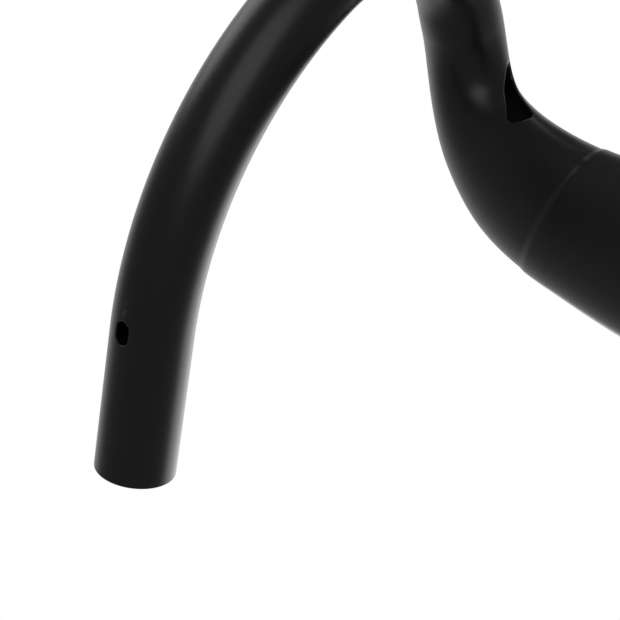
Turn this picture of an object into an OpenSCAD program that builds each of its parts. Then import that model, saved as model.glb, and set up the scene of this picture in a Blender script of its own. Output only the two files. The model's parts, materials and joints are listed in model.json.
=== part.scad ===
// One-piece hollow aero handlebar for road bicycles.
// Axes in mm: +X rider's right, +Y riding direction, +Z up, origin at the middle of the stem clamp.
// The left half is the mirror image of the right half.

/* [Fit] */
// Distance between the middles of the two hoods, side to side
hood_width = 420; // [400:10:440]
// Diameter of the round zone that the stem clamps
clamp_d = 31.8; // [31.8]
// Length of the round clamp zone
clamp_length = 84; // [76:2:90]
// Outside diameter of the hooks and drops
tube_d = 23.8; // [23.8]

/* [Shell] */
// Wall thickness under the stem clamp
clamp_wall = 2.6; // [2.2:0.1:3.2]
// Wall thickness of the flat wing and the shoulders
wing_wall = 2.0; // [1.6:0.1:2.4]
// Wall thickness of the hooks and drops
tube_wall = 1.9; // [1.6:0.1:2.2]

/* [Wing] */
// Distance from the middle plane to where the shoulder bend begins
wing_end = 157; // [152:1:162]
// Forward offset of the wing's outer end
wing_forward = 5; // [3:0.5:7]
// Forward sweep of the wing's outer end, degrees
wing_sweep = 6; // [4:0.5:8]
// Downward slope of the wing's outer end, degrees
wing_slope = 2.3; // [1:0.1:3.5]
// Nose-up pitch of the wing section, degrees
wing_pitch = 3; // [0:0.5:5]
// How much fuller the front of the section is than its back
wing_taper = 0.15; // [0:0.05:0.2]
// Height of the soft step where the handlebar tape ends
tape_step = 0.4; // [0.2:0.1:0.6]
// Skew of the tape step across the wing, degrees
tape_skew = 11; // [0:1:14]

/* [Shoulder and hook] */
// Forward offset of the start of the ramp
ramp_forward = 51.5; // [50:0.5:54]
// Height of the start of the ramp
ramp_height = -1.4; // [-3:0.1:0]
// Downward slope of the ramp, degrees
ramp_slope = 26.5; // [22:0.5:30]
// Straight length of the ramp
ramp_length = 8; // [7:0.5:10]
// Radius of the upper bend of the hook
hook_r = 42.5; // [40:0.5:46]
// Radius of the lower bend of the hook
drop_r = 121; // [112:1:130]
// Angle turned by the lower bend, degrees
drop_turn = 53; // [48:1:58]
// Straight length at the end of the drop
drop_end = 44; // [42:1:52]
// Length of the round bore that takes a bar-end plug
bore_length = 38; // [30:1:38]
// Slope of the drop's straight end, degrees
drop_slope = 3.3; // [1:0.1:6]
// Outward flare of the hook, degrees
hook_flare = 1.3; // [0:0.1:4]

/* [Cable openings] */
// Diameter of the cable inlet at the inner corner of the shoulder
inlet_d = 9; // [8:0.5:10]
// Width of the oval hole under the drop
drop_hole_w = 4.8; // [4:0.2:6]
// Length of the oval hole under the drop
drop_hole_l = 7.2; // [6:0.2:9]
// Distance from the drop's open end to the middle of its hole
drop_hole_at = 46.5; // [44.5:0.5:52]
// Width of the cable outlet beside the stem clamp
outlet_w = 8; // [7:0.5:9]
// Length of the cable outlet beside the stem clamp
outlet_l = 16; // [12:1:20]

/* [Hidden] */
// Sides of the lofted skin: the hollow has half as many as the outside
core_sides = 16;
skin_sides = 2 * core_sides;
// Smoothness of the exact round parts
$fn = 96;
// How far a loft's end lies inside the wall of the round part that it joins, and for what length
inset = 0.03;
lap = 2;
tube_r = tube_d / 2;
clamp_r = clamp_d / 2;
half_clamp = clamp_length / 2;
// Length over which the round clamp zone swells into the wing
swell = 40;

// Wing chord and thickness at stations along the path: -1 is the clamp's edge,
// 0 is the end of the wing and 1 is the start of the ramp.
chord_at = [-0.55, -0.25, 0, 0.2, 0.4, 0.6, 0.8, 1];
chord = [51, 52.8, 48.4, 44.3, 36.3, 28.9, 26.3, 24.9];
thick_at = [-0.55, 0, 0.5, 1];
thick = [22.6, 23, 23.6, 24.9];
// Where the tape step lies on the path, and half its softness
step_at = 0.052;
step_half = 0.012;

// The path's corner points: a flat wing curve, then the shoulder curve.
wing_dir = [cos(wing_sweep) * cos(wing_slope), sin(wing_sweep) * cos(wing_slope), -sin(wing_slope)];
ramp_dir = [sin(hook_flare) * sin(ramp_slope), cos(ramp_slope), -cos(hook_flare) * sin(ramp_slope)];
clamp_edge = [half_clamp + lap / 2, 0, 0];
wing_tip = [wing_end, wing_forward, 0];
ramp_top = [hood_width / 2, ramp_forward, ramp_height];
wing_curve = [clamp_edge, clamp_edge + [40, 0, 0], wing_tip - 42 * wing_dir, wing_tip];
bend_curve = [wing_tip, wing_tip + 45 * wing_dir, ramp_top - 23.5 * ramp_dir, ramp_top];
hook_turn = 180 - drop_slope - ramp_slope - drop_turn;

function unit(v) = v / norm(v);
function bezier(b, u) = pow(1 - u, 3) * b[0] + 3 * u * pow(1 - u, 2) * b[1]
    + 3 * u * u * (1 - u) * b[2] + u * u * u * b[3];
function heading(b, u) = unit(pow(1 - u, 2) * (b[1] - b[0]) + 2 * u * (1 - u) * (b[2] - b[1])
    + u * u * (b[3] - b[2]));
function ease(x) = let (t = min(max(x, 0), 1)) t * t * (3 - 2 * t);

// Smooth value between stations, with the mean slope of the neighbours at each
function slope_at(x, y, i) = (i == 0 || i == len(x) - 1) ? 0 : (y[i + 1] - y[i - 1]) / (x[i + 1] - x[i - 1]);
function span_of(x, v, i = 0) = (i >= len(x) - 2 || v < x[i + 1]) ? i : span_of(x, v, i + 1);
function between(x, y, v) = let (
    p = min(max(v, x[0]), x[len(x) - 1]),
    i = span_of(x, p),
    h = x[i + 1] - x[i],
    t = (p - x[i]) / h
) (2 * t * t * t - 3 * t * t + 1) * y[i] + (t * t * t - 2 * t * t + t) * h * slope_at(x, y, i)
    + (3 * t * t - 2 * t * t * t) * y[i + 1] + (t * t * t - t * t) * h * slope_at(x, y, i + 1);

// The hook lies in one flared plane: direction after turning down by the angle a
function hook_dir(a) = [sin(hook_flare) * sin(a), cos(a), -cos(hook_flare) * sin(a)];
function along_bend(start, a, radius, turned) =
    start + radius * (hook_dir(a + 90) - hook_dir(a + turned + 90));
hook_top = ramp_top + ramp_length * ramp_dir;
bend_end = along_bend(hook_top, ramp_slope, hook_r, hook_turn);
drop_start = along_bend(bend_end, ramp_slope + hook_turn, drop_r, drop_turn);
drop_dir = hook_dir(180 - drop_slope);
drop_tip = drop_start + drop_end * drop_dir;
hook_side = [-cos(hook_flare), 0, -sin(hook_flare)];
// Where the loft begins to be drawn in, a little above the bore's inner end
bore_start = 4 + drop_end - bore_length - lap;

// Middle of the section and direction of the path at p: wing to 0, shoulder to 1,
// ramp to 2, upper bend to 3, lower bend to 4 and straight drop end beyond, 1 mm a unit
function middle(p) = p < -1 ? clamp_edge + [(p + 1) * 40, 0, 0]
    : p < 0 ? bezier(wing_curve, p + 1)
    : p <= 1 ? bezier(bend_curve, p)
    : p <= 2 ? ramp_top + (p - 1) * ramp_length * ramp_dir
    : p <= 3 ? along_bend(hook_top, ramp_slope, hook_r, hook_turn * (p - 2))
    : p <= 4 ? along_bend(bend_end, ramp_slope + hook_turn, drop_r, drop_turn * (p - 3))
    : drop_start + (p - 4) * drop_dir;
function direction(p) = p < -1 ? [1, 0, 0]
    : p < 0 ? heading(wing_curve, p + 1)
    : p <= 1 ? heading(bend_curve, p)
    : p <= 2 ? ramp_dir
    : p <= 3 ? hook_dir(ramp_slope + hook_turn * (p - 2))
    : p <= 4 ? hook_dir(ramp_slope + hook_turn + drop_turn * (p - 3))
    : drop_dir;

// Share of the wing shape against the round clamp, and share of the round hook tube
function wing_share(p) = p > 0 ? 1 : ease((middle(p)[0] - clamp_edge[0]) / swell);
function tube_share(p) = ease((p - 1) / 0.75);
function mix(a, b, k) = a * (1 - k) + b * k;
function step_height(p) = 2 * tape_step * ease((step_at + step_half - p) / (2 * step_half));
function section_size(p, at, size) =
    mix(clamp_d, mix(between(at, size, p) + step_height(p), tube_d, tube_share(p)), wing_share(p));
function fullness(p) = wing_taper * (1 - ease((p - 0.1) / 0.8)) * wing_share(p);
function skew(p) = tan(tape_skew) * ease((p + 0.4) / 0.3) * (1 - ease((p - 0.12) / 0.3));
function wall(p) = mix(clamp_wall, mix(wing_wall, tube_wall, tube_share(p)), wing_share(p));

// One closed section: an oval that is fuller at its front, set square to the path
function section(p, sides, depth) = let (
    along = direction(p),
    across = p > 1 ? hook_side : unit(cross([0, -sin(wing_pitch), cos(wing_pitch)], along)),
    upright = cross(along, across),
    wide = section_size(p, chord_at, chord) / 2 - depth,
    high = section_size(p, thick_at, thick) / 2 - depth,
    lead = across - skew(p) * along
) [for (j = [0 : sides - 1]) let (a = 360 * j / sides)
    middle(p) + wide * cos(a) * lead + high * sin(a) * (1 + fullness(p) * cos(a)) * upright];

// Places along the path: closest together at the tape step and round the bends
skin_path = concat(
    [-1 - 1.5 * lap / 40, -1], [for (i = [1 : 6]) -1 + i * 0.1], [-0.2, -0.07],
    [step_at - step_half, step_at, step_at + step_half], [for (i = [0 : 14]) 0.1 + i * 0.9 / 14],
    [1.33, 1.67, 2], [for (i = [1 : 12]) 2 + i / 12], [for (i = [1 : 10]) 3 + i / 10], [bore_start, bore_start + 2 * lap]);
core_path = concat(
    [-1 - 1.5 * lap / 40, -1], [for (i = [1 : 3]) -1 + i * 0.2], [-0.2, 0],
    [for (i = [1 : 10]) i / 10], [1.5, 2], [for (i = [1 : 10]) 2 + i / 10],
    [for (i = [1 : 7]) 3 + i / 7], [bore_start, bore_start + 2 * lap]);

// How deep the skin and the hollow lie under the outside of the shell at p
function at_end(p) = p <= -1 || p >= bore_start;
function skin_depth(p) = at_end(p) ? inset : 0;
function core_depth(p) = at_end(p)
    ? let (r = section_size(p, chord_at, chord) / 2) r - (r - wall(p) + inset) / cos(180 / core_sides)
    : wall(p);

// Hollow shell from the clamp zone to the drop end: outside, inside and a rim at either end
module shell_loft() {
    n = core_sides;
    skin = [for (p = skin_path) section(p, skin_sides, skin_depth(p))];
    core = [for (p = core_path) section(p, core_sides, core_depth(p))];
    base = len(skin) * skin_sides;
    // Numbers of the points: o on the outside, i on the inside
    function o(ring, j) = ring * 2 * n + (j + 2 * n) % (2 * n);
    function i(ring, j) = base + ring * n + (j + n) % n;
    function rim(ro, ri) = [for (j = [0 : n - 1]) each [
        [o(ro, 2 * j), i(ri, j), o(ro, 2 * j + 1)],
        [o(ro, 2 * j + 1), i(ri, j), i(ri, j + 1)],
        [o(ro, 2 * j + 1), i(ri, j + 1), o(ro, 2 * j + 2)]]];
    function turned(faces) = [for (f = faces) [f[2], f[1], f[0]]];
    polyhedron(
        points = concat([for (r = skin) each r], [for (r = core) each r]),
        faces = turned(concat(
            [for (k = [0 : len(skin) - 2], j = [0 : 2 * n - 1]) each [
                [o(k, j), o(k, j + 1), o(k + 1, j)],
                [o(k, j + 1), o(k + 1, j + 1), o(k + 1, j)]]],
            turned([for (k = [0 : len(core) - 2], j = [0 : n - 1]) each [
                [i(k, j), i(k, j + 1), i(k + 1, j)],
                [i(k, j + 1), i(k + 1, j + 1), i(k + 1, j)]]]),
            rim(0, 0),
            turned(rim(len(skin) - 1, len(core) - 1)))));
}

module ring(outer, inner, length) {
    difference() {
        cylinder(r = outer, h = length);
        translate([0, 0, -1]) cylinder(r = inner, h = length + 2);
    }
}

// Puts its children at the open end of the drop, with local +Z running back up the tube
// and local +Y towards its underside
module at_drop_end() {
    translate(drop_tip) rotate([0, -hook_flare, 0]) rotate([-90 + drop_slope, 0, 0]) children();
}

// Slanted channel that takes the cables from the ramp into the wing
module cable_inlet() {
    top = [wing_end + 53.9, 80, 16.7];
    foot = [wing_end + 21.7, 20, -4];
    run = foot - top;
    translate(top) rotate([0, acos(run[2] / norm(run)), atan2(run[1], run[0])])
        cylinder(d = inlet_d, h = norm(run));
}

// Oval hole in the underside of the drop
module drop_hole() {
    at_drop_end() translate([0, 0, drop_hole_at]) rotate([-90, 0, 0])
        linear_extrude(tube_r + 2) hull() {
            translate([0, (drop_hole_l - drop_hole_w) / 2]) circle(d = drop_hole_w, $fn = 48);
            translate([0, -(drop_hole_l - drop_hole_w) / 2]) circle(d = drop_hole_w, $fn = 48);
        }
}

// Slot in the lower front of the wing, where the cables come out beside the stem
module cable_outlet() {
    translate([half_clamp + 22, 0, 0]) rotate([-143, 0, 0])
        linear_extrude(26) hull() {
            translate([(outlet_l - outlet_w) / 2, 0]) circle(d = outlet_w, $fn = 48);
            translate([-(outlet_l - outlet_w) / 2, 0]) circle(d = outlet_w, $fn = 48);
        }
}

module right_shell() {
    shell_loft();
    at_drop_end() ring(tube_r, tube_r - tube_wall, bore_length);
}

module right_openings() {
    cable_inlet();
    drop_hole();
    cable_outlet();
}

module handlebar() {
    color([0.06, 0.06, 0.065])
    difference() {
        union() {
            translate([-half_clamp, 0, 0]) rotate([0, 90, 0]) ring(clamp_r, clamp_r - clamp_wall, clamp_length);
            right_shell();
            mirror([1, 0, 0]) right_shell();
        }
        right_openings();
        mirror([1, 0, 0]) right_openings();
    }
}

handlebar();
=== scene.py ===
"""A hollow one-piece aero handlebar for road bicycles, with its satin black coat and a soft pale studio.

Axes: +X rider's right, +Y riding direction, +Z up, origin at the middle of the stem clamp. Metres.
The right half is worked out from the named sizes and the left half is its mirror image.
"""

import json
import math

import bpy
import numpy as np
from mathutils import Euler, Matrix, Vector


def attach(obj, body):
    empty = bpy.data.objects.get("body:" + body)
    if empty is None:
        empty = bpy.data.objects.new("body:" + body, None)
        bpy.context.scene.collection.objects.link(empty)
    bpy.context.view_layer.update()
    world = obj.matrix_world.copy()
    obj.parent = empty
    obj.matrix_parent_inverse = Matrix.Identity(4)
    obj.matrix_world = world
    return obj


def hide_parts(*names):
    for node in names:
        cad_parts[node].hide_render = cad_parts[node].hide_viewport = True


bl_info = {
    "name": "Aero Road Handlebar",
    "version": (1, 0, 0),
    "blender": (4, 5, 0),
    "location": "3D View > Sidebar > Handlebar",
    "description": "Builds a hollow one-piece handlebar with cable openings, its finish and a pale studio",
    "category": "Add Mesh",
}

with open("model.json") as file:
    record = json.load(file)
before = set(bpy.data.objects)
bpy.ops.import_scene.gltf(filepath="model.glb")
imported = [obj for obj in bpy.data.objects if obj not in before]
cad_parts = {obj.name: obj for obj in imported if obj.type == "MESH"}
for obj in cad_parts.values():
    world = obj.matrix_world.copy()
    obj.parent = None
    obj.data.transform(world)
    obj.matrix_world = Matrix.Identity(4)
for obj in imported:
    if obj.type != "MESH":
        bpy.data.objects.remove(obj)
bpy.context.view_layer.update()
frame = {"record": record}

MM = 0.001
BODY = "root"
NODE = "handlebar"


def clamp_mount():
    """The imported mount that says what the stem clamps: its radius and length in metres."""
    for mount in frame["record"]["mounts"]:
        if mount["name"] == "stem_clamp":
            return mount["dims"]["r_mm"] * MM, mount["dims"]["length_mm"] * MM
    raise RuntimeError("the packed record has no mount named stem_clamp")


CLAMP_RADIUS, CLAMP_LENGTH = clamp_mount()


# ---- Sizes, finish and studio values that a user may change ----


def length(name, text, millimetres):
    return bpy.props.FloatProperty(
        name=name, description=text, default=millimetres * MM, precision=5, subtype="DISTANCE", unit="LENGTH"
    )


def turn(name, text, degrees):
    return bpy.props.FloatProperty(
        name=name, description=text, default=math.radians(degrees), subtype="ANGLE", unit="ROTATION"
    )


def number(name, text, value, low=0.0, high=10.0):
    return bpy.props.FloatProperty(name=name, description=text, default=value, min=low, max=high)


def count(name, text, value):
    return bpy.props.IntProperty(name=name, description=text, default=value, min=8, max=400)


def colour(name, text, value):
    return bpy.props.FloatVectorProperty(
        name=name, description=text, default=value, size=3, min=0.0, max=1.0, subtype="COLOR"
    )


class HandlebarSizes(bpy.types.PropertyGroup):
    """Sizes of the handlebar's shell."""

    hood_width: length("Hood width", "Distance between the middles of the two hoods", 420)
    clamp_d: length(
        "Clamp diameter", "Diameter of the round zone that the stem clamps", 2 * CLAMP_RADIUS / MM
    )
    clamp_length: length("Clamp length", "Length of the round clamp zone", CLAMP_LENGTH / MM)
    tube_d: length("Tube diameter", "Outside diameter of the hooks and drops", 23.8)
    clamp_wall: length("Clamp wall", "Wall thickness under the stem clamp", 2.6)
    wing_wall: length("Wing wall", "Wall thickness of the flat wing and the shoulders", 2.0)
    tube_wall: length("Tube wall", "Wall thickness of the hooks and drops", 1.9)
    wing_end: length("Wing end", "Distance from the middle plane to where the shoulder bend begins", 157)
    wing_forward: length("Wing forward", "Forward offset of the wing's outer end", 5)
    wing_sweep: turn("Wing sweep", "Forward sweep of the wing's outer end", 6)
    wing_slope: turn("Wing slope", "Downward slope of the wing's outer end", 2.3)
    wing_pitch: turn("Wing pitch", "Nose-up pitch of the wing section", 3)
    wing_taper: number("Wing taper", "How much fuller the front of the section is than its back", 0.15)
    tape_step: length("Tape step", "Height of the soft step where the handlebar tape ends", 0.4)
    tape_skew: turn("Tape skew", "Skew of the tape step across the wing", 11)
    crease_depth: length("Crease depth", "Depth of the soft crease under the wing's front edge", 0.5)
    ramp_forward: length("Ramp forward", "Forward offset of the start of the ramp", 51.5)
    ramp_height: length("Ramp height", "Height of the start of the ramp", -1.4)
    ramp_slope: turn("Ramp slope", "Downward slope of the ramp", 26.5)
    ramp_length: length("Ramp length", "Straight length of the ramp", 8)
    hook_r: length("Hook radius", "Radius of the upper bend of the hook", 42.5)
    drop_r: length("Drop radius", "Radius of the lower bend of the hook", 121)
    drop_turn: turn("Drop turn", "Angle turned by the lower bend", 53)
    drop_end: length("Drop end", "Straight length at the end of the drop", 44)
    drop_slope: turn("Drop slope", "Slope of the drop's straight end", 3.3)
    hook_flare: turn("Hook flare", "Outward flare of the hook", 1.3)
    inlet_d: length("Inlet width", "Width of the cable inlet's wide end, at the shoulder's inner corner", 6.4)
    inlet_tip_d: length("Inlet tip width", "Width of the cable inlet's narrow end, on the neck", 5)
    inlet_length: length("Inlet length", "Distance between the middles of the inlet's two ends", 16.2)
    inlet_course: turn("Inlet course", "Direction of the inlet's long side, seen from above", 14.6)
    inlet_rise: turn("Inlet rise", "Rise of the inlet's long side", 29.4)
    inlet_roll: turn("Inlet roll", "Roll of the inlet about its long side", -77.2)
    inlet_lip: length("Inlet lip", "Radius of the rolled lip of the cable inlet", 0.7)
    hole_w: length("Drop hole width", "Width of the oval hole under the drop", 4.8)
    hole_l: length("Drop hole length", "Length of the oval hole under the drop", 7.2)
    hole_at: length("Drop hole place", "Distance from the drop's open end to the hole's middle", 46.5)
    hole_lip: length("Hole lip", "Radius of the eased edge of the drop hole", 0.35)
    outlet_w: length("Outlet width", "Width of the cable outlet beside the stem clamp", 8)
    outlet_l: length("Outlet length", "Length of the cable outlet beside the stem clamp", 16)
    outlet_lip: length("Outlet lip", "Radius of the eased edge of the cable outlet", 0.6)
    end_lip: length("End lip", "Radius of the eased edges at the drop's open end", 0.45)
    sides: count("Sides", "Number of faces round the shell", 72)


class HandlebarFinish(bpy.types.PropertyGroup):
    """Colours and gloss of the handlebar."""

    coat: colour("Coat", "Colour of the satin coat", (0.0058, 0.0044, 0.005))
    coat_rough: number("Coat roughness", "Roughness of the satin coat", 0.34, 0.0, 1.0)
    coat_vary: number("Coat variation", "How much the satin coat's roughness varies", 0.06, 0.0, 1.0)
    bare: colour("Bare inside", "Colour of the bare moulded composite inside", (0.05, 0.048, 0.048))
    bare_rough: number("Bare roughness", "Roughness of the bare inside", 0.36, 0.0, 1.0)
    dust: colour("Dust", "Colour of the dust specks and the scuff", (0.28, 0.27, 0.25))
    dust_amount: number("Dust amount", "How strongly the dust specks show", 0.5, 0.0, 1.0)


class StudioSettings(bpy.types.PropertyGroup):
    """Floor and light."""

    floor_drop: length("Floor drop", "How far the floor lies under the stem clamp, as under a bicycle", 980)
    floor_size: length("Floor size", "Side of the square floor", 9000)
    floor_colour: colour("Floor colour", "Colour of the floor", (0.86, 0.86, 0.86))
    backdrop: number("Backdrop", "Brightness of the pale backdrop behind the bar", 1.0)
    room: number("Room", "Brightness of the dim room behind the photographer", 0.22)


# ---- Form of the shell ----


def unit(v):
    v = np.asarray(v, float)
    return v / np.linalg.norm(v, axis=-1, keepdims=True)


def ease(x):
    t = np.clip(x, 0.0, 1.0)
    return t * t * (3 - 2 * t)


def rising(x, start, run):
    """Eased share that is 0 at the start and 1 a run after it."""
    return ease((x - start) / run)


def mix(a, b, k):
    return a * (1 - k) + b * k


def bezier(corners, u):
    b0, b1, b2, b3 = corners
    u = u[:, None]
    point = (1 - u) ** 3 * b0 + 3 * u * (1 - u) ** 2 * b1 + 3 * u * u * (1 - u) * b2 + u**3 * b3
    tangent = (1 - u) ** 2 * (b1 - b0) + 2 * u * (1 - u) * (b2 - b1) + u * u * (b3 - b2)
    return point, unit(tangent)


def between(stations, values, p):
    """Smooth value between stations, with the mean slope of the neighbours at each."""
    x = np.array(stations)
    y = np.array(values)
    p = np.clip(p, x[0], x[-1])
    i = np.clip(np.searchsorted(x, p, side="right") - 1, 0, len(x) - 2)
    slope = np.zeros(len(x))
    slope[1:-1] = (y[2:] - y[:-2]) / (x[2:] - x[:-2])
    h = x[i + 1] - x[i]
    t = (p - x[i]) / h
    return (
        (2 * t**3 - 3 * t**2 + 1) * y[i]
        + (t**3 - 2 * t**2 + t) * h * slope[i]
        + (3 * t**2 - 2 * t**3) * y[i + 1]
        + (t**3 - t**2) * h * slope[i + 1]
    )


class BarForm:
    """Middle line and section of the right half, as functions of one running place along it.

    The place is below -1 in the clamp zone, runs to 0 along the wing, to 1 round the shoulder, to 2
    down the ramp, to 3 and 4 round the upper and lower bends, and counts metres after 4.
    """

    # Chord and thickness of the section in millimetres, at places along the bar
    CHORD_AT = (-0.55, -0.25, 0, 0.2, 0.4, 0.6, 0.8, 1)
    CHORD = (51, 52.8, 48.4, 44.3, 36.3, 28.9, 26.3, 24.9)
    THICK_AT = (-0.55, 0, 0.5, 1)
    THICK = (22.6, 23, 23.6, 24.9)
    # Place and half length of the soft step where the tape ends
    STEP_AT = 0.052
    STEP_HALF = 0.012
    # Round length kept past the clamp, run in which the wing grows, and pulls of the curves' ends
    LAP = 1 * MM
    SWELL = 40 * MM
    WING_PULL = 42 * MM
    BEND_PULL = 45 * MM
    RAMP_PULL = 23.5 * MM
    # The shell lies this far inside the solid, and the neck turns round over this length
    COAT_EASE = 0.02 * MM
    NECK_EASE = 18 * MM
    # The crease's angle round the section, its climb along the bar, half width, and where it fades
    CREASE_ANGLE = -0.32
    CREASE_CLIMB = 0.62
    CREASE_HALF = 0.13
    CREASE_FROM = 0.05
    CREASE_IN = 0.1
    CREASE_UNTIL = 0.34
    CREASE_OUT = 0.14
    # Where the section turns to the hook's side, loses its fuller front, and is skewed for the step
    SIDE_FROM = 0.5
    SIDE_RUN = 0.5
    FULL_UNTIL = 0.1
    FULL_OUT = 0.8
    SKEW_FROM = -0.4
    SKEW_IN = 0.3
    SKEW_UNTIL = 0.12
    SKEW_OUT = 0.3
    # Small step in place and angle, for the normals
    NUDGE = 2e-5

    def __init__(self, sizes):
        self.sizes = sizes
        s = sizes
        self.clamp_edge = np.array([s.clamp_length / 2 + self.LAP, 0, 0])
        wing_dir = np.array(
            [
                math.cos(s.wing_sweep) * math.cos(s.wing_slope),
                math.sin(s.wing_sweep) * math.cos(s.wing_slope),
                -math.sin(s.wing_slope),
            ]
        )
        self.ramp_dir = self.hook_direction(np.array([s.ramp_slope]))[0]
        wing_tip = np.array([s.wing_end, s.wing_forward, 0])
        self.ramp_top = np.array([s.hood_width / 2, s.ramp_forward, s.ramp_height])
        straight_on = np.array([self.SWELL, 0, 0])
        self.wing_curve = (
            self.clamp_edge,
            self.clamp_edge + straight_on,
            wing_tip - self.WING_PULL * wing_dir,
            wing_tip,
        )
        self.bend_curve = (
            wing_tip,
            wing_tip + self.BEND_PULL * wing_dir,
            self.ramp_top - self.RAMP_PULL * self.ramp_dir,
            self.ramp_top,
        )
        self.hook_turn = math.pi - s.drop_slope - s.ramp_slope - s.drop_turn
        self.hook_top = self.ramp_top + s.ramp_length * self.ramp_dir
        one = np.ones(1)
        self.bend_end = self.along_bend(self.hook_top, s.ramp_slope, s.hook_r, self.hook_turn * one)[0]
        lower = s.ramp_slope + self.hook_turn
        self.drop_start = self.along_bend(self.bend_end, lower, s.drop_r, s.drop_turn * one)[0]
        self.drop_dir = self.hook_direction(np.array([math.pi - s.drop_slope]))[0]
        self.drop_tip = self.drop_start + s.drop_end * self.drop_dir
        self.hook_side = np.array([-math.cos(s.hook_flare), 0, -math.sin(s.hook_flare)])
        self.first = -1 - self.clamp_edge[0] / self.SWELL
        self.last = 4 + s.drop_end

    def hook_direction(self, angle):
        flare = self.sizes.hook_flare
        down = -math.cos(flare) * np.sin(angle)
        return np.stack([math.sin(flare) * np.sin(angle), np.cos(angle), down], -1)

    def along_bend(self, start, angle, radius, turned):
        quarter = math.pi / 2
        begin = self.hook_direction(np.array([angle + quarter]))
        return start + radius * (begin - self.hook_direction(angle + turned + quarter))

    def path(self, p):
        """Middle points and headings at the places p."""
        s = self.sizes
        middle = np.zeros((len(p), 3))
        heading = np.zeros((len(p), 3))

        def fill(mask, points, directions):
            if mask.any():
                middle[mask] = points(p[mask])
                heading[mask] = directions(p[mask])

        lower = s.ramp_slope + self.hook_turn
        fill(
            p < -1,
            lambda q: self.clamp_edge + np.outer((q + 1) * self.SWELL, (1, 0, 0)),
            lambda q: (1, 0, 0),
        )
        wing = (p >= -1) & (p < 0)
        fill(wing, lambda q: bezier(self.wing_curve, q + 1)[0], lambda q: bezier(self.wing_curve, q + 1)[1])
        bend = (p >= 0) & (p <= 1)
        fill(bend, lambda q: bezier(self.bend_curve, q)[0], lambda q: bezier(self.bend_curve, q)[1])
        fill(
            (p > 1) & (p <= 2),
            lambda q: self.ramp_top + np.outer((q - 1) * s.ramp_length, self.ramp_dir),
            lambda q: self.ramp_dir,
        )
        fill(
            (p > 2) & (p <= 3),
            lambda q: self.along_bend(self.hook_top, s.ramp_slope, s.hook_r, self.hook_turn * (q - 2)),
            lambda q: self.hook_direction(s.ramp_slope + self.hook_turn * (q - 2)),
        )
        fill(
            (p > 3) & (p <= 4),
            lambda q: self.along_bend(self.bend_end, lower, s.drop_r, s.drop_turn * (q - 3)),
            lambda q: self.hook_direction(lower + s.drop_turn * (q - 3)),
        )
        fill(p > 4, lambda q: self.drop_start + np.outer(q - 4, self.drop_dir), lambda q: self.drop_dir)
        return middle, heading

    def shares(self, p, middle):
        """Share of the wing shape against the round clamp, and share of the round hook tube."""
        wing = np.where(p > 0, 1.0, ease((middle[:, 0] - self.clamp_edge[0]) / self.SWELL))
        on_ramp = np.clip(p - 1, 0.0, 1.0) * self.sizes.ramp_length
        on_hook = np.clip(p - 2, 0.0, 1.0) * self.hook_turn * self.sizes.hook_r
        return wing, ease((on_ramp + on_hook) / self.NECK_EASE)

    def crease(self, p, angle):
        """Depth of the soft crease under the wing's front edge, from the tape step to the inlet."""
        middle = self.CREASE_ANGLE + self.CREASE_CLIMB * p
        across = np.exp(-(((angle - middle) / self.CREASE_HALF) ** 2))
        share = rising(p, self.CREASE_FROM, self.CREASE_IN)
        share = share * (1 - rising(p, self.CREASE_UNTIL, self.CREASE_OUT))
        return self.sizes.crease_depth * share * across

    def wall(self, p):
        s = self.sizes
        wing, tube = self.shares(p, self.path(p)[0])
        return mix(s.clamp_wall, mix(s.wing_wall, s.tube_wall, tube), wing)

    def point(self, p, angle, depth=0.0):
        """Points of the shell at places p and angles round it, a depth under its outside."""
        s = self.sizes
        middle, along = self.path(p)
        wing, tube = self.shares(p, middle)
        tilt = np.array([0, -math.sin(s.wing_pitch), math.cos(s.wing_pitch)])
        across = unit(np.cross(tilt, along))
        across = unit(mix(across, self.hook_side, rising(p, self.SIDE_FROM, self.SIDE_RUN)[:, None]))
        upright = np.cross(along, across)
        step = 2 * s.tape_step * ease((self.STEP_AT + self.STEP_HALF - p) / (2 * self.STEP_HALF))
        sunk = depth + self.COAT_EASE + self.crease(p, angle)

        def half_size(at, values):
            size = between(at, values, p) * MM + step
            return mix(s.clamp_d, mix(size, s.tube_d, tube), wing) / 2 - sunk

        wide = half_size(self.CHORD_AT, self.CHORD)
        high = half_size(self.THICK_AT, self.THICK)
        fullness = s.wing_taper * (1 - rising(p, self.FULL_UNTIL, self.FULL_OUT)) * wing
        skew = math.tan(s.tape_skew) * rising(p, self.SKEW_FROM, self.SKEW_IN)
        skew = skew * (1 - rising(p, self.SKEW_UNTIL, self.SKEW_OUT))
        lead = across - skew[:, None] * along
        sweep = (wide * np.cos(angle))[:, None] * lead
        rise = (high * np.sin(angle) * (1 + fullness * np.cos(angle)))[:, None] * upright
        return middle + sweep + rise

    def normal(self, p, angle, depth_of):
        """Outward unit normals of the shell's surface that lies depth_of(p) under its outside."""
        depth = depth_of(p)
        round_it = self.point(p, angle + self.NUDGE, depth) - self.point(p, angle - self.NUDGE, depth)
        ahead = p + self.NUDGE
        behind = p - self.NUDGE
        along = self.point(ahead, angle, depth_of(ahead)) - self.point(behind, angle, depth_of(behind))
        found = unit(np.cross(round_it, along))
        outward = self.point(p, angle) - self.path(p)[0]
        return found * np.sign((found * outward).sum(1))[:, None]


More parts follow.
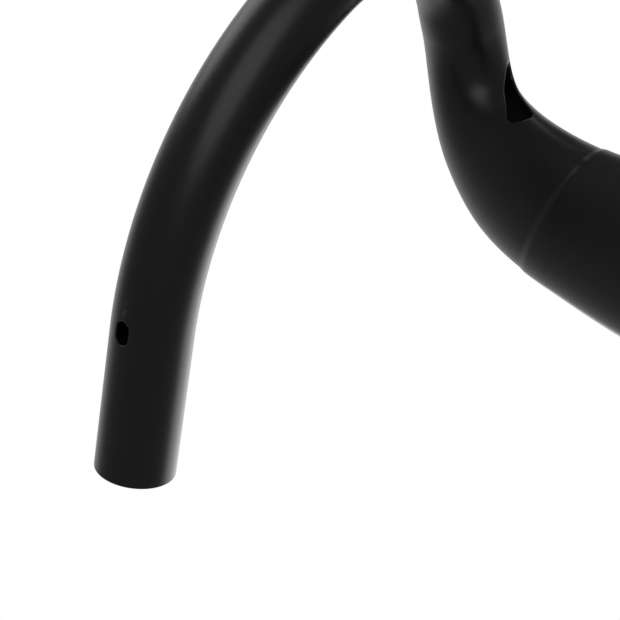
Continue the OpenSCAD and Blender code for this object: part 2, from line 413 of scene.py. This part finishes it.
class Opening:
    """A straight channel with two round ends, cut through the near wall of the shell."""

    def __init__(self, foot, out, spread, start_d, end_d, run, lip):
        self.foot = np.array(foot, float)
        self.out = unit(np.array(out, float))
        spread = np.array(spread, float)
        self.spread = unit(spread - spread.dot(self.out) * self.out)
        self.aside = np.cross(self.out, self.spread)
        self.start_r = start_d / 2
        self.end_r = end_d / 2
        self.run = run
        self.slant = (self.start_r - self.end_r) / run
        self.lip = lip

    def local(self, points):
        q = points - self.foot
        return q @ self.spread, q @ self.aside, q @ self.out

    def parts(self, points):
        """Masks of the points beside the start circle and the end circle, and the local places."""
        along, aside, out = self.local(points)
        reach = math.sqrt(1 - self.slant**2) * along - self.slant * np.abs(aside)
        return reach < 0, reach > math.sqrt(1 - self.slant**2) * self.run, along, aside, out

    def distance(self, points):
        """Distance outside the channel's profile, large where the points lie behind its foot."""
        start, end, along, aside, out = self.parts(points)
        flank = math.sqrt(1 - self.slant**2) * np.abs(aside) + self.slant * along - self.start_r
        flank = np.where(start, np.hypot(along, aside) - self.start_r, flank)
        flank = np.where(end, np.hypot(along - self.run, aside) - self.end_r, flank)
        return np.where(out > 0, flank, 1.0)

    def away(self, points):
        """Unit directions straight out of the channel's profile."""
        start, end, along, aside, _ = self.parts(points)
        ahead = np.where(start, along, np.where(end, along - self.run, self.slant))
        round_it = np.where(start | end, aside, math.sqrt(1 - self.slant**2) * np.sign(aside))
        return unit(ahead[:, None] * self.spread + round_it[:, None] * self.aside)

    def bearing(self, points):
        along, aside, _ = self.local(points)
        return np.arctan2(aside, along - self.run / 2)


# Place of the inlet from the wing's end and of the outlet from the clamp, and the outlet's lean
INLET_OUTBOARD = 26.4 * MM
INLET_AHEAD = 31.1 * MM
INLET_HEIGHT = -0.9 * MM
INLET_DEPTH = 12 * MM
OUTLET_BESIDE = 22 * MM
OUTLET_LEAN = math.radians(143)


def openings_of(form):
    """Cable inlet, hole under the drop and cable outlet of the right half."""
    s = form.sizes
    turned = Euler((s.inlet_roll, -s.inlet_rise, s.inlet_course)).to_matrix()
    heel = np.array([s.wing_end + INLET_OUTBOARD, INLET_AHEAD, INLET_HEIGHT])
    out = np.array(turned.col[2])
    inlet = Opening(
        heel - INLET_DEPTH * out, out, turned.col[0], s.inlet_d, s.inlet_tip_d, s.inlet_length, s.inlet_lip
    )
    under = np.cross(form.hook_side, form.drop_dir)
    under = under * -np.sign(under[2])
    hole_run = s.hole_l - s.hole_w
    hole_foot = form.drop_tip - (s.hole_at + hole_run / 2) * form.drop_dir
    hole = Opening(hole_foot, under, form.drop_dir, s.hole_w, s.hole_w, hole_run, s.hole_lip)
    outlet_run = s.outlet_l - s.outlet_w
    outlet_foot = (s.clamp_length / 2 + OUTLET_BESIDE - outlet_run / 2, 0, 0)
    outlet_out = (0, math.sin(OUTLET_LEAN), math.cos(OUTLET_LEAN))
    outlet = Opening(outlet_foot, outlet_out, (1, 0, 0), s.outlet_w, s.outlet_w, outlet_run, s.outlet_lip)
    return [inlet, hole, outlet]


# ---- Mesh of the shell ----

# Share of a grid edge within which a corner moves onto a cut, and the distance that welds points
SNAP_REACH = 0.3
WELD = 1e-7

# Rows round a lip and an end edge, last bend's place, and the run of close rings after it
LIP_STEPS = 7
END_STEPS = 5
LAST_BEND = 4
RIM_RUN = 5 * MM


class Patches:
    """Faces collected with a position, a normal and a finish for every corner."""

    def __init__(self):
        self.points = []
        self.normals = []
        self.faces = []
        self.finishes = []
        self.total = 0

    def add(self, points, normals):
        first = self.total
        self.points.append(np.asarray(points, float).reshape(-1, 3))
        self.normals.append(np.asarray(normals, float).reshape(-1, 3))
        self.total += len(self.points[-1])
        return first

    def face(self, corners, finish):
        self.faces.append(tuple(corners))
        self.finishes.append(finish)

    def strip(self, rows, finish, closed=True):
        """Quads between neighbouring rows of points that were added one after another."""
        for lower, upper in zip(rows[:-1], rows[1:]):
            size = len(lower)
            for k in range(size if closed else size - 1):
                n = (k + 1) % size
                self.face((lower[k], lower[n], upper[n], upper[k]), finish)

    def zipper(self, near, far, near_at, far_at, finish):
        """Triangles between two closed loops whose points are sorted by bearing."""
        i = j = 0
        count_near, count_far = len(near), len(far)
        while i < count_near or j < count_far:
            next_near = near_at[i + 1] if i + 1 < count_near else near_at[0] + 2 * math.pi
            next_far = far_at[j + 1] if j + 1 < count_far else far_at[0] + 2 * math.pi
            a, b = near[i % count_near], far[j % count_far]
            if j >= count_far or (i < count_near and next_near <= next_far):
                self.face((a, near[(i + 1) % count_near], b), finish)
                i += 1
            else:
                self.face((a, far[(j + 1) % count_far], b), finish)
                j += 1


def settle(low, high, form_field, steps=40):
    """Places and angles where the field is zero between pairs of places and angles of opposite sign."""
    a = low.copy()
    b = high.copy()
    low_sign = np.sign(form_field(a[:, 0], a[:, 1]))
    for _ in range(steps):
        half = (a + b) / 2
        same = np.sign(form_field(half[:, 0], half[:, 1])) == low_sign
        a[same] = half[same]
        b[~same] = half[~same]
    return (a + b) / 2


def trimmed(places, angles, field):
    """Grid of places and angles, cut where the field is zero. Returns the points, faces and cut flags."""
    rows, columns = len(places), len(angles)
    spots = np.stack(np.meshgrid(places, angles, indexing="ij"), -1).reshape(-1, 2)
    value = field(spots[:, 0], spots[:, 1])
    number_of = np.arange(rows * columns).reshape(rows, columns)
    down = np.stack([number_of[:-1].ravel(), number_of[1:].ravel()], 1)
    beside = np.stack([number_of[:, :-1].ravel(), number_of[:, 1:].ravel()], 1)
    edges = np.concatenate([down, beside])

    def crossing():
        cut = edges[value[edges[:, 0]] * value[edges[:, 1]] < 0]
        return cut, settle(spots[cut[:, 0]], spots[cut[:, 1]], field)

    cut, at = crossing()
    gap = np.linalg.norm(spots[cut[:, 1]] - spots[cut[:, 0]], axis=1)
    share = np.linalg.norm(at - spots[cut[:, 0]], axis=1) / gap
    best = {}
    for (a, b), spot, t in zip(cut, at, share):
        for corner, reach in ((a, t), (b, 1 - t)):
            if reach < best.get(corner, (SNAP_REACH, None))[0]:
                best[corner] = (reach, spot)
    for corner, (_, spot) in best.items():
        spots[corner] = spot
        value[corner] = 0.0

    cut, at = crossing()
    extra = {(int(a), int(b)): rows * columns + k for k, (a, b) in enumerate(cut)}
    spots = np.concatenate([spots, at])
    on_cut = np.concatenate([value == 0, np.ones(len(at), bool)])
    faces = []
    corners_of = np.stack(
        [number_of[:-1, :-1], number_of[:-1, 1:], number_of[1:, 1:], number_of[1:, :-1]], -1
    ).reshape(-1, 4)
    lowest = value[corners_of].min(1)
    faces.extend(map(tuple, corners_of[lowest >= 0]))
    for cell in corners_of[(lowest < 0) & (value[corners_of].max(1) > 0)]:
        walk = []
        for a, b in zip(cell, np.roll(cell, -1)):
            if value[a] >= 0:
                walk.append(int(a))
            if value[a] * value[b] < 0:
                walk.append(extra[(int(min(a, b)), int(max(a, b)))])
        if len(walk) > 2:
            faces.append(tuple(walk))
    return spots, faces, on_cut


def cut_loops(faces, on_cut):
    """Closed loops along the cut, each as point numbers in walking order."""
    after = {}
    seen = set()
    for f in faces:
        for a, b in zip(f, f[1:] + f[:1]):
            if on_cut[a] and on_cut[b]:
                seen.add((a, b))
    for a, b in seen:
        if (b, a) not in seen:
            after[a] = b
    loops = []
    while after:
        start, following = after.popitem()
        loop = [start]
        while following != start:
            loop.append(following)
            following = after.pop(following)
        loops.append(loop)
    return loops


def by_bearing(opening, points):
    bearing = opening.bearing(points)
    order = np.argsort(bearing)
    return order, bearing[order]


def spaced(start, stops):
    """Places spread evenly up to each stop, as many as it says, and the last stop itself."""
    places = []
    for stop, how_many in stops:
        places.append(np.linspace(start, stop, how_many, endpoint=False))
        start = stop
    return np.concatenate([*places, [start]])


def places_outside(form):
    """Places of the outside's rings, closest together at the step, the bends and the openings."""
    stops = (
        (-1, 6),
        (-0.92, 6),
        (-0.62, 42),
        (-0.06, 36),
        (0.03, 12),
        (0.075, 20),
        (0.16, 12),
        (1, 92),
        (2, 7),
        (3, 46),
        (3.93, 50),
        (LAST_BEND, 14),
        (LAST_BEND + RIM_RUN, 9),
        (form.last - form.sizes.end_lip, 10),
    )
    return spaced(form.first, stops)


def places_inside(form):
    """Places of the hollow's rings."""
    stops = (
        (-1, 3),
        (-0.92, 4),
        (-0.62, 24),
        (0.1, 16),
        (0.9, 50),
        (2, 8),
        (3, 20),
        (3.93, 18),
        (LAST_BEND + RIM_RUN, 14),
        (form.last - form.sizes.end_lip, 4),
    )
    return spaced(form.first, stops)


COAT, BARE = 0, 1


def right_half(form):
    """Patches of the right half: outside, hollow, rolled lips, channel walls and the open end."""
    s = form.sizes
    patches = Patches()
    openings = openings_of(form)
    angles = np.linspace(-math.pi, math.pi, s.sides + 1)

    def surface(places, depth_of, side, finish, lip):
        """Adds one skin. Returns its first number, the loop at each opening, points, normals, last ring."""

        def field(p, a):
            points = form.point(p, a, depth_of(p))
            normals = form.normal(p, a, depth_of) if lip else 0.0
            gaps = [o.distance(points - o.lip * lip * normals) - o.lip * lip for o in openings]
            return np.min(gaps, axis=0)

        spots, faces, on_cut = trimmed(places, angles, field)
        points = form.point(spots[:, 0], spots[:, 1], depth_of(spots[:, 0]))
        normals = form.normal(spots[:, 0], spots[:, 1], depth_of)
        rings = points[: len(places) * len(angles)].reshape(len(places), len(angles), 3)
        rings[:, -1] = rings[:, 0]
        first = patches.add(points, side * normals)
        for f in faces:
            patches.face([first + v for v in (f if side > 0 else f[::-1])], finish)
        loops = [np.array(loop) for loop in cut_loops(faces, on_cut)]
        nearest = []
        for loop in loops:
            nearest.append(int(np.argmin([abs(o.distance(points[loop])).mean() for o in openings])))
        found = [loops[nearest.index(k)] for k in range(len(openings))]
        last = first + (len(places) - 1) * len(angles) + np.arange(len(angles))
        return first, found, points, normals, last

    first, loops, points, normals, outer_ring = surface(places_outside(form), np.zeros_like, 1, COAT, 1)
    _, hollow_loops, hollow_points, _, inner_ring = surface(places_inside(form), form.wall, -1, BARE, 0)

    for k, opening in enumerate(openings):
        order, _ = by_bearing(opening, points[loops[k]])
        loop = loops[k][order]
        start = normals[loop]
        centre = points[loop] - opening.lip * start
        end = -opening.away(centre)
        spread = np.arccos(np.clip((start * end).sum(1), -1, 1))[:, None]
        rows = []
        for t in np.linspace(0, 1, LIP_STEPS):
            way = (np.sin((1 - t) * spread) * start + np.sin(t * spread) * end) / np.sin(spread)
            row = patches.add(centre + opening.lip * way, way)
            rows.append(row + np.arange(len(loop)))
        rows[0] = first + loop
        patches.strip(rows, COAT)
        edge = centre + opening.lip * end
        rim_order, rim_at = by_bearing(opening, edge)
        hollow = hollow_points[hollow_loops[k]]
        hollow_order, hollow_at = by_bearing(opening, hollow)
        near = rows[-1][rim_order]
        sorted_hollow = hollow[hollow_order]
        far = patches.add(sorted_hollow, -opening.away(sorted_hollow)) + np.arange(len(hollow))
        patches.zipper(list(near), list(far), rim_at, hollow_at, COAT)

    open_end(form, patches, angles, outer_ring, inner_ring)
    return patches


def open_end(form, patches, angles, outer_ring, inner_ring):
    """The drop's open end: an eased outer edge, a flat rim and an eased inner edge."""
    s = form.sizes
    radius = s.tube_d / 2
    lip = s.end_lip
    profile = []
    for t in np.linspace(0, math.pi / 2, END_STEPS):
        profile.append((radius - lip + lip * math.cos(t), lip * math.sin(t), math.cos(t), math.sin(t)))
    bore = radius - s.tube_wall
    for t in np.linspace(math.pi / 2, math.pi, END_STEPS):
        profile.append((bore + lip + lip * math.cos(t), lip * math.sin(t), math.cos(t), math.sin(t)))
    place = np.full(len(angles), form.last)
    rim = form.point(place, angles)
    outward = unit(rim - form.drop_tip)
    base = form.drop_tip - lip * form.drop_dir
    rows = []
    for around, ahead, normal_around, normal_ahead in profile:
        points = base + around * outward + ahead * form.drop_dir
        points[-1] = points[0]
        normals = normal_around * outward + normal_ahead * form.drop_dir
        rows.append(patches.add(points, normals) + np.arange(len(angles)))
    rows[0] = outer_ring
    rows[-1] = inner_ring
    patches.strip(rows, COAT, closed=False)


def shell_mesh(form):
    """One closed mesh of both halves, with exact normals at every corner."""
    patches = right_half(form)
    right = np.concatenate(patches.points)
    normal = np.concatenate(patches.normals)
    middle = np.abs(right[:, 0]) < WELD
    right[middle, 0] = 0.0
    flip = np.array([-1, 1, 1])
    every_point = np.concatenate([right, right * flip])
    every_normal = np.concatenate([normal, normal * flip])
    faces = []
    finishes = []
    for corners, finish in zip(patches.faces, patches.finishes):
        faces.append(corners)
        faces.append(tuple(len(right) + c for c in corners[::-1]))
        finishes += [finish, finish]
    grid = np.round(every_point / WELD).astype(np.int64)
    _, keep, number_of = np.unique(grid, axis=0, return_index=True, return_inverse=True)
    number_of = number_of.ravel()
    welded = []
    corner_normals = []
    kept_finishes = []
    for corners, finish in zip(faces, finishes):
        ring = []
        normals = []
        for corner in corners:
            vertex = int(number_of[corner])
            if vertex not in ring:
                ring.append(vertex)
                normals.append(every_normal[corner])
        if len(ring) > 2:
            welded.append(ring)
            corner_normals.extend(normals)
            kept_finishes.append(finish)
    mesh = bpy.data.meshes.new("handlebar_shell")
    mesh.from_pydata(every_point[keep].tolist(), [], welded)
    mesh.polygons.foreach_set("use_smooth", np.ones(len(welded), bool))
    mesh.polygons.foreach_set("material_index", np.array(kept_finishes))
    mesh.normals_split_custom_set(np.array(corner_normals).tolist())
    mesh.update()
    return mesh


# ---- Finish ----

FLOAT = "NodeSocketFloat"
VECTOR = "NodeSocketVector"
WHITE = (1, 1, 1, 1)
CLOUD_DETAIL = 3.0
GRAIN_DETAIL = 2.0
SPECK_EDGE = 4.0
COAT_GRAIN = {"Cloud scale": 26.0, "Grain scale": 2600.0}
COAT_SPECKS = {"Cells per metre": 55.0, "Speck size": 0.016}
COAT_RELIEF = 0.06
COAT_RELIEF_DEPTH = 0.05 * MM
DUST_ROUGHNESS = 0.3
BARE_GRAIN = {"Cloud scale": 90.0, "Grain scale": 1400.0}
BARE_SPECKS = {"Cells per metre": 140.0, "Speck size": 0.05}
BARE_RELIEF = 0.4
BARE_RELIEF_DEPTH = 0.2 * MM
BARE_VARY = 0.2
BARE_DUST = 0.5

# Half sizes of the scuff, its place beyond the hole, and how broken it looks
SCUFF_SIZE = (1.2 * MM, 5 * MM, 3 * MM)
SCUFF_PAST_HOLE = 5.1 * MM
SCUFF_SCALE = 900.0
SCUFF_GAPS = 0.45
SCUFF_GAIN = 3.0


def node(tree, kind, inputs=None, **settings):
    """A shader node with its settings and its unlinked input values."""
    made = tree.nodes.new(kind)
    for name, value in settings.items():
        setattr(made, name, value)
    for name, value in (inputs or {}).items():
        if isinstance(value, bpy.types.NodeSocket):
            tree.links.new(value, made.inputs[name])
        else:
            made.inputs[name].default_value = value
    return made


def math_node(tree, operation, first, second):
    return node(tree, "ShaderNodeMath", {0: first, 1: second}, operation=operation).outputs[0]


def new_group(name, inputs, outputs):
    """A shader node group with named inputs and outputs, and its two end nodes."""
    group = bpy.data.node_groups.new(name, "ShaderNodeTree")
    for label, kind, default in inputs:
        socket = group.interface.new_socket(name=label, in_out="INPUT", socket_type=kind)
        if default is not None:
            socket.default_value = default
    for label, kind in outputs:
        group.interface.new_socket(name=label, in_out="OUTPUT", socket_type=kind)
    return group, group.nodes.new("NodeGroupInput"), group.nodes.new("NodeGroupOutput")


def grain_group():
    """Uneven gloss and fine relief: slow clouds with a fine grain over them."""
    group, ins, outs = new_group(
        "Fine grain",
        [("Position", VECTOR, None), ("Cloud scale", FLOAT, 30.0), ("Grain scale", FLOAT, 2500.0)],
        [("Unevenness", FLOAT), ("Relief", FLOAT)],
    )
    position = ins.outputs["Position"]
    cloud_inputs = {"Vector": position, "Scale": ins.outputs["Cloud scale"], "Detail": CLOUD_DETAIL}
    cloud = node(group, "ShaderNodeTexNoise", cloud_inputs)
    grain_inputs = {"Vector": position, "Scale": ins.outputs["Grain scale"], "Detail": GRAIN_DETAIL}
    grain = node(group, "ShaderNodeTexNoise", grain_inputs)
    both = math_node(group, "ADD", cloud.outputs["Fac"], grain.outputs["Fac"])
    group.links.new(math_node(group, "SUBTRACT", both, 1.0), outs.inputs["Unevenness"])
    group.links.new(grain.outputs["Fac"], outs.inputs["Relief"])
    return group


def dust_group():
    """Mask of small round specks, one at most in each cell, of uneven size."""
    group, ins, outs = new_group(
        "Settled dust",
        [("Position", VECTOR, None), ("Cells per metre", FLOAT, 60.0), ("Speck size", FLOAT, 0.018)],
        [("Mask", FLOAT)],
    )
    cells = node(
        group,
        "ShaderNodeTexVoronoi",
        {"Vector": ins.outputs["Position"], "Scale": ins.outputs["Cells per metre"]},
    )
    chance = node(group, "ShaderNodeSeparateColor", {"Color": cells.outputs["Color"]})
    size = math_node(group, "MULTIPLY", chance.outputs[0], ins.outputs["Speck size"])
    left = math_node(group, "SUBTRACT", size, cells.outputs["Distance"])
    sharp = math_node(group, "DIVIDE", left, ins.outputs["Speck size"])
    mask = node(group, "ShaderNodeClamp", {"Value": math_node(group, "MULTIPLY", sharp, SPECK_EDGE)})
    group.links.new(mask.outputs[0], outs.inputs["Mask"])
    return group


def placed_group(tree, group, inputs):
    return node(tree, "ShaderNodeGroup", inputs, node_tree=group)


def shader_of(material):
    material.use_nodes = True
    tree = material.node_tree
    shader = next(n for n in tree.nodes if n.type == "BSDF_PRINCIPLED")
    position = node(tree, "ShaderNodeTexCoord").outputs["Object"]
    return tree, shader, position


def paler(tree, base, over, mask):
    """Base colour with another colour laid over it where the mask is high."""
    made = node(tree, "ShaderNodeMix", data_type="RGBA")
    colour_in = [s for s in made.inputs if s.type == "RGBA"]
    colour_in[0].default_value = (*base, 1)
    colour_in[1].default_value = (*over, 1)
    tree.links.new(mask, made.inputs["Factor"])
    return next(s for s in made.outputs if s.type == "RGBA")


def relief(tree, height, strength, distance):
    bump = node(tree, "ShaderNodeBump", {"Height": height, "Strength": strength, "Distance": distance})
    return bump.outputs[0]


def scuff_mask(tree, position, centre, size):
    """Mask of one small rubbed place, longest along the tube."""
    offset = node(tree, "ShaderNodeVectorMath", {0: position, 1: centre}, operation="SUBTRACT").outputs[0]
    scaled = node(tree, "ShaderNodeVectorMath", {0: offset, 1: size}, operation="DIVIDE").outputs[0]
    reach = node(tree, "ShaderNodeVectorMath", {0: scaled}, operation="LENGTH").outputs["Value"]
    broken = node(
        tree, "ShaderNodeTexNoise", {"Vector": position, "Scale": SCUFF_SCALE, "Detail": GRAIN_DETAIL}
    )
    near = math_node(tree, "MAXIMUM", math_node(tree, "SUBTRACT", 1.0, reach), 0.0)
    patchy = math_node(tree, "SUBTRACT", broken.outputs["Fac"], SCUFF_GAPS)
    mask = math_node(tree, "MULTIPLY", near, patchy)
    return node(tree, "ShaderNodeClamp", {"Value": math_node(tree, "MULTIPLY", mask, SCUFF_GAIN)}).outputs[0]


def satin_coat(finish, grain, dust, scuff_at):
    """Satin black coat of the outside, with settled dust and one scuff by the drop hole."""
    material = bpy.data.materials.new("Satin black coat")
    tree, shader, position = shader_of(material)
    uneven = placed_group(tree, grain, {"Position": position, **COAT_GRAIN})
    specks = placed_group(tree, dust, {"Position": position, **COAT_SPECKS})
    scuff = scuff_mask(tree, position, scuff_at, SCUFF_SIZE)
    marks = math_node(tree, "MAXIMUM", specks.outputs["Mask"], scuff)
    seen = math_node(tree, "MULTIPLY", marks, finish.dust_amount)
    tree.links.new(paler(tree, finish.coat, finish.dust, seen), shader.inputs["Base Color"])
    spread = math_node(tree, "MULTIPLY", uneven.outputs["Unevenness"], finish.coat_vary)
    rough = math_node(tree, "ADD", spread, finish.coat_rough)
    dusty = math_node(tree, "MULTIPLY", seen, DUST_ROUGHNESS)
    tree.links.new(math_node(tree, "ADD", rough, dusty), shader.inputs["Roughness"])
    bump = relief(tree, uneven.outputs["Relief"], COAT_RELIEF, COAT_RELIEF_DEPTH)
    tree.links.new(bump, shader.inputs["Normal"])
    return material


def bare_composite(finish, grain, dust):
    """Bare moulded composite of the hollow, with the fine wrinkles that moulding leaves."""
    material = bpy.data.materials.new("Bare moulded inside")
    tree, shader, position = shader_of(material)
    uneven = placed_group(tree, grain, {"Position": position, **BARE_GRAIN})
    specks = placed_group(tree, dust, {"Position": position, **BARE_SPECKS})
    seen = math_node(tree, "MULTIPLY", specks.outputs["Mask"], BARE_DUST * finish.dust_amount)
    tree.links.new(paler(tree, finish.bare, finish.dust, seen), shader.inputs["Base Color"])
    spread = math_node(tree, "MULTIPLY", uneven.outputs["Unevenness"], BARE_VARY)
    tree.links.new(math_node(tree, "ADD", spread, finish.bare_rough), shader.inputs["Roughness"])
    bump = relief(tree, uneven.outputs["Relief"], BARE_RELIEF, BARE_RELIEF_DEPTH)
    tree.links.new(bump, shader.inputs["Normal"])
    return material


# ---- Studio ----

CAMERA_PLACE = Vector((-133.0, 248.3, -469.1)) * MM
CAMERA_RIGHT = Vector((-0.72828, 0.10631, 0.67699))
CAMERA_UP = Vector((0.38459, 0.88106, 0.27537))
CAMERA_AHEAD = Vector((0.56719, -0.46091, 0.68254))
SENSOR = 36.0
FOCAL_PIXELS = 2000.0
FRAME_PIXELS = 620.0
CAMERA_REACH = 30.0

# Lamps steeper than this use +Y as their upright; cosines between which the backdrop fades in
STEEP = 0.9
PALE_FROM = 0.3
PALE_TO = 0.9
FLOOR_ROUGHNESS = 0.8
FLOOR_GLOW = 0.55

# Name, aim in millimetres, turn and rise from the camera in degrees, distance, size, watts
SOFTBOXES = (
    ("Near light", (205, 60, -70), (0, 10), 0.3, 0.3, 0.22),
    ("Rim light", (216, -20, -130), (140, -20), 0.3, 0.3, 0.32),
    ("Side light", (212, 40, -60), (-110, 50), 1.2, 0.9, 3.9),
)


def looking(ahead, up):
    """Rotation of a camera or lamp that looks along ahead with up on top."""
    back = -ahead.normalized()
    right = up.cross(back).normalized()
    top = back.cross(right)
    return Matrix((right, top, back)).transposed().to_4x4()


def add_camera():
    camera = bpy.data.objects.new("Camera", bpy.data.cameras.new("Camera"))
    camera.data.sensor_width = SENSOR
    camera.data.lens = SENSOR * FOCAL_PIXELS / FRAME_PIXELS
    camera.data.clip_end = CAMERA_REACH
    camera.matrix_world = Matrix.Translation(CAMERA_PLACE) @ looking(CAMERA_AHEAD, CAMERA_UP)
    bpy.context.scene.collection.objects.link(camera)
    bpy.context.scene.camera = camera


def seen_from_camera(azimuth, elevation):
    """Direction from the bar, turned to the right of and above the line towards the camera, in degrees."""
    turned = math.radians(azimuth)
    raised = math.radians(elevation)
    level = CAMERA_RIGHT * math.sin(turned) - CAMERA_AHEAD * math.cos(turned)
    return level * math.cos(raised) + CAMERA_UP * math.sin(raised)


def add_softbox(name, target, towards, distance, size, watts):
    """Round soft light that stands a distance from the target and looks at it."""
    light = bpy.data.lights.new(name, "AREA")
    light.shape = "DISK"
    light.size = size
    light.energy = watts
    lamp = bpy.data.objects.new(name, light)
    towards = towards.normalized()
    side = Vector((0, 0, 1)) if abs(towards.z) < STEEP else Vector((0, 1, 0))
    lamp.visible_camera = False
    lamp.matrix_world = Matrix.Translation(target + distance * towards) @ looking(-towards, side)
    bpy.context.scene.collection.objects.link(lamp)


def add_world(studio):
    """Pale backdrop behind the bar and a dim room behind the camera, which itself sees plain white."""
    world = bpy.data.worlds.new("Studio")
    bpy.context.scene.world = world
    world.use_nodes = True
    tree = world.node_tree
    tree.nodes.clear()
    ray = node(tree, "ShaderNodeTexCoord").outputs["Generated"]
    facing = node(
        tree, "ShaderNodeVectorMath", {0: ray, 1: CAMERA_AHEAD}, operation="DOT_PRODUCT"
    ).outputs["Value"]
    share = node(
        tree,
        "ShaderNodeMapRange",
        {
            "Value": facing,
            "From Min": PALE_FROM,
            "From Max": PALE_TO,
            "To Min": studio.room,
            "To Max": studio.backdrop,
        },
        interpolation_type="SMOOTHSTEP",
    ).outputs["Result"]
    light = node(tree, "ShaderNodeBackground", {"Color": WHITE, "Strength": share})
    seen = node(tree, "ShaderNodeBackground", {"Color": WHITE, "Strength": 1.0})
    camera_ray = node(tree, "ShaderNodeLightPath").outputs["Is Camera Ray"]
    both = node(tree, "ShaderNodeMixShader", {0: camera_ray, 1: light.outputs[0], 2: seen.outputs[0]})
    node(tree, "ShaderNodeOutputWorld", {"Surface": both.outputs[0]})


def add_floor(studio):
    half = studio.floor_size / 2
    height = -studio.floor_drop
    mesh = bpy.data.meshes.new("floor")
    corners = [(-half, -half, height), (half, -half, height), (half, half, height), (-half, half, height)]
    mesh.from_pydata(corners, [], [(0, 1, 2, 3)])
    floor = bpy.data.objects.new("floor", mesh)
    bpy.context.scene.collection.objects.link(floor)
    material = bpy.data.materials.new("Pale floor")
    _, shader, _ = shader_of(material)
    shader.inputs["Roughness"].default_value = FLOOR_ROUGHNESS
    shader.inputs["Base Color"].default_value = (*studio.floor_colour, 1)
    shader.inputs["Emission Color"].default_value = WHITE
    shader.inputs["Emission Strength"].default_value = FLOOR_GLOW
    mesh.materials.append(material)
    floor.visible_glossy = False
    floor.visible_diffuse = False


# ---- Operators, panel and registration ----


class HANDLEBAR_OT_shell(bpy.types.Operator):
    """Build the one-piece hollow handlebar with its lips, channels and finish"""

    bl_idname = "handlebar.shell"
    bl_label = "Handlebar shell"

    def execute(self, context):
        scene = context.scene
        form = BarForm(scene.handlebar_sizes)
        shell = bpy.data.objects.new("handlebar_shell", shell_mesh(form))
        scene.collection.objects.link(shell)
        grain = grain_group()
        dust = dust_group()
        hole = openings_of(form)[1]
        scuff_at = hole.foot - SCUFF_PAST_HOLE * form.drop_dir + form.sizes.tube_d / 2 * hole.out
        finish = scene.handlebar_finish
        shell.data.materials.append(satin_coat(finish, grain, dust, scuff_at))
        shell.data.materials.append(bare_composite(finish, grain, dust))
        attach(shell, BODY)
        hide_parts(NODE)
        return {"FINISHED"}


class HANDLEBAR_OT_studio(bpy.types.Operator):
    """Set up the pale floor, the soft lights and the camera"""

    bl_idname = "handlebar.studio"
    bl_label = "Studio"

    def execute(self, context):
        studio = context.scene.handlebar_studio
        context.scene.view_settings.view_transform = "Standard"
        add_camera()
        add_world(studio)
        add_floor(studio)
        for name, aim, (azimuth, elevation), distance, size, watts in SOFTBOXES:
            towards = seen_from_camera(azimuth, elevation)
            add_softbox(name, Vector(aim) * MM, towards, distance, size, watts)
        return {"FINISHED"}


class HANDLEBAR_PT_panel(bpy.types.Panel):
    """Lists the handlebar's operators and values"""

    bl_idname = "HANDLEBAR_PT_panel"
    bl_label = "Handlebar"
    bl_space_type = "VIEW_3D"
    bl_region_type = "UI"
    bl_category = "Handlebar"

    def draw(self, context):
        scene = context.scene
        for operator in OPERATORS:
            self.layout.operator(operator.bl_idname)
        for values in (scene.handlebar_sizes, scene.handlebar_finish, scene.handlebar_studio):
            box = self.layout.box()
            for name in values.__annotations__:
                box.prop(values, name)


OPERATORS = (HANDLEBAR_OT_shell, HANDLEBAR_OT_studio)
GROUPS = {
    "handlebar_sizes": HandlebarSizes,
    "handlebar_finish": HandlebarFinish,
    "handlebar_studio": StudioSettings,
}


def register():
    for name, group in GROUPS.items():
        bpy.utils.register_class(group)
        setattr(bpy.types.Scene, name, bpy.props.PointerProperty(type=group))
    for part in (*OPERATORS, HANDLEBAR_PT_panel):
        bpy.utils.register_class(part)


def unregister():
    for part in (*OPERATORS, HANDLEBAR_PT_panel):
        bpy.utils.unregister_class(part)
    for name, group in GROUPS.items():
        delattr(bpy.types.Scene, name)
        bpy.utils.unregister_class(group)


def main():
    register()
    bpy.ops.handlebar.shell()
    bpy.ops.handlebar.studio()


if __name__ == "__main__":
    main()
